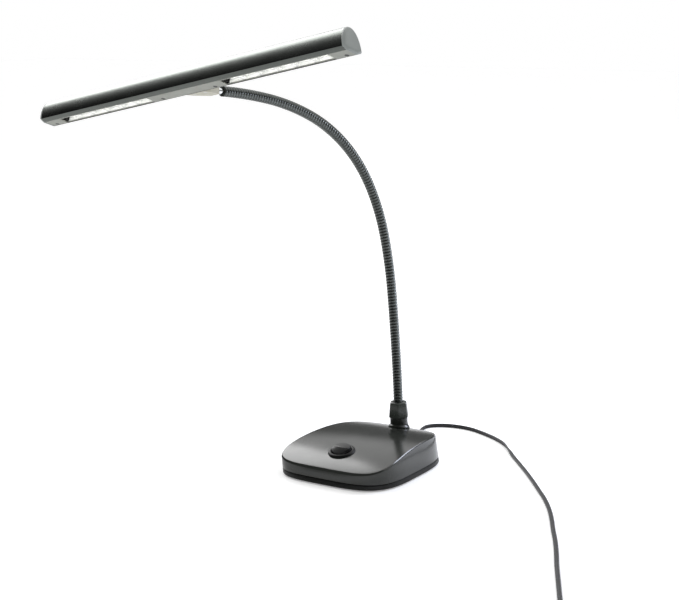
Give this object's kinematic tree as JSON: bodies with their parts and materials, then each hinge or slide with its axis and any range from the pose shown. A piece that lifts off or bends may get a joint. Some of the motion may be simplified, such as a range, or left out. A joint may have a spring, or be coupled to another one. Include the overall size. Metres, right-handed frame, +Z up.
{
  "type": "piano lamp",
  "caption": "Weighted wedge base with a round rocker switch, a ribbed gooseneck and a long arched bar head with rows of LEDs behind two windows.",
  "frame": {"origin": "on the table, under the middle of the base", "axes": "+Z up, +X to the right along the front of the base, -Y towards the player"},
  "size_m": [0.6301, 0.5108, 0.376],
  "materials": {
    "housing": "satin",
    "tray": "matte",
    "steel": "rough",
    "rubber": "matte",
    "screw": "satin",
    "black_plastic": "gloss",
    "brass": "satin",
    "wire": "satin",
    "nipple": "satin",
    "collar": "satin",
    "neck": "satin",
    "chrome": "polished",
    "bracket": "satin",
    "shell": "satin",
    "cover": "matte",
    "block": "matte",
    "reflector": "gloss",
    "board": "matte",
    "led": "gloss",
    "cap": "matte",
    "black_screw": "satin",
    "lead": "satin"
  },
  "bodies": {
    "base": {"base_housing": "housing", "base_plate": "tray", "ballast_weight": "steel", "base_pad": "rubber", "base_screws": "screw", "switch_body": "black_plastic", "switch_terminals": "brass", "inner_wires": "wire", "cord_gland": "tray", "collar_bush": "collar", "threaded_nipple": "nipple", "nipple_washer": "nipple", "nipple_nut": "nipple", "collar_nut": "collar", "neck_section_1": "neck", "lead_free": "lead", "lead_coil": "lead", "lead_tail": "lead", "coil_tie": "tray", "adapter_body": "black_plastic", "adapter_pins": "screw"},
    "rocker": {"switch_rocker": "black_plastic"},
    "neck_2": {"neck_section_2": "neck"},
    "neck_3": {"neck_section_3": "neck"},
    "neck_4": {"neck_section_4": "neck"},
    "neck_5": {"neck_section_5": "neck"},
    "neck_6": {"neck_section_6": "neck"},
    "neck_7": {"neck_section_7": "neck"},
    "head": {"neck_section_8": "neck", "end_tube": "chrome", "neck_bracket": "bracket", "bracket_cover": "bracket", "bracket_screws": "screw", "head_shell": "shell", "head_cover": "cover", "mount_block": "block", "reflector_left": "reflector", "reflector_right": "reflector", "led_board_left": "board", "led_board_right": "board", "leds_left": "led", "leds_right": "led", "head_wires": "wire", "end_cap_left": "cap", "end_cap_right": "cap", "head_screws": "black_screw"}
  },
  "joints": [
    {"name": "rocker_tip", "type": "hinge", "parent": "base", "child": "rocker", "pos_m": [0, -0.03647, 0.02309], "axis": [1, 0, 0], "range_deg": [-18, 0]},
    {"name": "neck_side_1", "type": "hinge", "parent": "base", "child": "neck_2", "pos_m": [-0.0002, 0.04737, 0.09875], "axis": [0.1695, 0.981, 0.0941], "range_deg": [-20, 20]},
    {"name": "neck_lower_1", "type": "hinge", "parent": "neck_2", "child": "neck_3", "pos_m": [-0.00111, 0.04215, 0.14716], "axis": [0.9854, -0.1702, 0], "range_deg": [-22, 22]},
    {"name": "neck_lower_2", "type": "hinge", "parent": "neck_3", "child": "neck_4", "pos_m": [-0.00267, 0.03308, 0.19495], "axis": [0.9854, -0.1702, 0], "range_deg": [-22, 22]},
    {"name": "neck_side_2", "type": "hinge", "parent": "neck_4", "child": "neck_5", "pos_m": [-0.00579, 0.015, 0.23991], "axis": [0.1478, 0.856, 0.4955], "range_deg": [-20, 20]},
    {"name": "neck_upper_1", "type": "hinge", "parent": "neck_5", "child": "neck_6", "pos_m": [-0.01102, -0.01522, 0.27745], "axis": [0.9854, -0.1702, 0], "range_deg": [-22, 22]},
    {"name": "neck_upper_2", "type": "hinge", "parent": "neck_6", "child": "neck_7", "pos_m": [-0.01798, -0.05552, 0.30355], "axis": [0.9854, -0.1702, 0], "range_deg": [-22, 22]},
    {"name": "neck_side_3", "type": "hinge", "parent": "neck_7", "child": "head", "pos_m": [-0.02584, -0.10107, 0.31861], "axis": [0.036, 0.2082, 0.9774], "range_deg": [-20, 20]}
  ],
  "couplings": [
    {"joint": "neck_side_2", "follows": "neck_side_1", "ratio": 1},
    {"joint": "neck_side_3", "follows": "neck_side_1", "ratio": 1},
    {"joint": "neck_lower_2", "follows": "neck_lower_1", "ratio": 1},
    {"joint": "neck_upper_2", "follows": "neck_upper_1", "ratio": 1}
  ]
}
